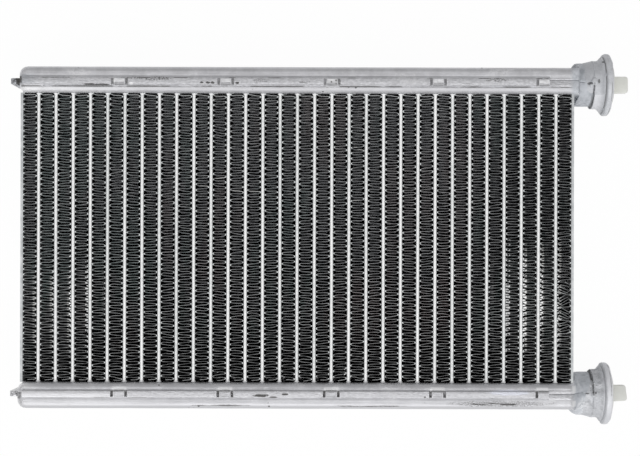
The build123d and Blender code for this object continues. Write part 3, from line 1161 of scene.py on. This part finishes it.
def plug(side):
    """One plug: its head with a shank behind it, and the grip tab, bent on the lower plug."""
    middle_y = side * seam_y
    head = start(
        "plug_form",
        bpy.ops.mesh.primitive_cylinder_add,
        ((plug_face_x + plug_head_end) / 2, middle_y, core_middle_z),
        (1.0, 1.0, 1.0),
        (0.0, math.pi / 2, 0.0),
        vertices=64,
        radius=plug_head_radius,
        depth=plug_head_end - plug_face_x,
    )
    bpy.ops.object.mode_set(mode="EDIT")
    ease(head, head_ease, 3, lambda middle, edge: middle.x > plug_head_end - near)
    pick(head, "FACE", lambda middle, face: face.normal.x < -0.9)
    bpy.ops.mesh.inset(thickness=shank_step, depth=0.0)
    bpy.ops.mesh.extrude_region_move(TRANSFORM_OT_translate={"value": (-shank_length, 0, 0)})
    bpy.ops.object.mode_set(mode="OBJECT")
    grip = block(
        "grip_form",
        ((plug_head_end + plug_tip) / 2 - grip_overlap / 2, middle_y, core_middle_z),
        (plug_tip - plug_head_end + grip_overlap, 2 * grip_half_height, 2 * grip_half_thickness),
    )
    bpy.ops.object.mode_set(mode="EDIT")
    ease(
        grip,
        grip_corner,
        6,
        lambda middle, edge: middle.x > plug_tip - near and abs(middle.y - middle_y) > 1 * mm,
    )
    for reach, half, push in bends if side < 0 else ():
        pick(
            grip,
            "VERT",
            lambda middle, corner: middle.x > plug_tip - reach and (middle.y - middle_y) * half > 0,
        )
        bpy.ops.transform.translate(value=push)
    ease(grip, grip_ease, 3)
    bpy.ops.object.mode_set(mode="OBJECT")
    return join([head, grip])


plug_cream = (0.745, 0.75, 0.71, 1.0)
plug_shade = (0.70, 0.705, 0.665, 1.0)
plug_lower_shade = (0.655, 0.66, 0.63, 1.0)
plug_finish, place = open_finish("plug_finish")
cloud = place.noise(150.0)
fine = place.noise(2600.0)
colour = cloud.within(0.3, 0.7).blend(plug_shade, plug_cream)
# Painted shade: the lower plug is darker than the upper one.
colour = (place.part("Y").falls(-1.0, 1.0) * 0.8).blend(colour, plug_lower_shade)
close_finish(
    place,
    fine,
    0.06 * mm,
    Base_Color=colour,
    Roughness=0.42 + fine * 0.2,
    Metallic=0.0,
)
plugs = join([plug(1), plug(-1)])
plugs.name = "plug_caps"
bpy.ops.object.shade_smooth_by_angle(angle=math.radians(40))
fit(plugs, plug_finish, "plug_plastic", "transit_plugs")

# The studio: the part lies on its back on a pale table, under one wide soft light on the
# side of the lower tank. The camera looks straight down on it.
white = (1.0, 1.0, 1.0, 1.0)
table = start("table", bpy.ops.mesh.primitive_plane_add, (0.0, 0.0, 0.0), (1.0, 1.0, 1.0), size=6.0)
table_finish, place = open_finish("table_finish")
camera_ray = place.node("ShaderNodeLightPath", output="Is Camera Ray")
glossy_ray = place.node("ShaderNodeLightPath", output="Is Glossy Ray")
clear_ray = place.node("ShaderNodeLightPath", output="Is Transmission Ray")
from_core_x = (place.part("X") - core_x).size()
from_core_y = place.part("Y").size()
open_table = from_core_x.rises(82.0, 96.0).or_more(from_core_y.rises(52.0, 60.0))
paper = place.node("ShaderNodeBsdfDiffuse", inputs={"Color": (0.96, 0.96, 0.96, 1.0)})
glow = place.node("ShaderNodeEmission", inputs={"Color": white, "Strength": 1.0})
share = (camera_ray + glossy_ray + clear_ray) * open_table * 0.97
mixed = place.node("ShaderNodeMixShader", inputs={0: share, 1: paper, 2: glow})
place.node("ShaderNodeOutputMaterial", inputs={"Surface": mixed})
table.data.materials.append(table_finish)

world = bpy.data.worlds.new("studio")
bpy.context.scene.world = world
world.use_nodes = True
world.node_tree.nodes.clear()
air = Flow(world.node_tree)
air = air.node("ShaderNodeBackground", inputs={"Color": white, "Strength": 0.47})
air.node("ShaderNodeOutputWorld", inputs={"Surface": air})


def soft_light(name, place, width, depth, watts):
    """A wide panel of light that faces the part."""
    turn = (math.atan2(-place[1], place[2]), 0.0, 0.0)
    bpy.ops.object.light_add(type="AREA", location=place, rotation=turn)
    light = bpy.context.active_object
    light.name = name
    light.data.shape = "RECTANGLE"
    light.data.size = width
    light.data.size_y = depth
    light.data.energy = watts


soft_light("wide_light", (0.0, -0.80, 1.20), width=3.0, depth=1.3, watts=20.5)

photo_width = 640.0
focal_pixels = 1355.4
shift_pixels = (5.47, 24.06)
sensor_width = 36.0
camera_place = (-2.56 * mm, -5.71 * mm, 580.35 * mm)
camera_roll = 0.0029
bpy.ops.object.camera_add(location=camera_place, rotation=(0.0, 0.0, camera_roll))
camera = bpy.context.active_object
camera.data.sensor_width = sensor_width
camera.data.lens = focal_pixels / photo_width * sensor_width
camera.data.shift_x = shift_pixels[0] / photo_width
camera.data.shift_y = shift_pixels[1] / photo_width
bpy.context.scene.camera = camera
bpy.context.scene.view_settings.view_transform = "Standard"
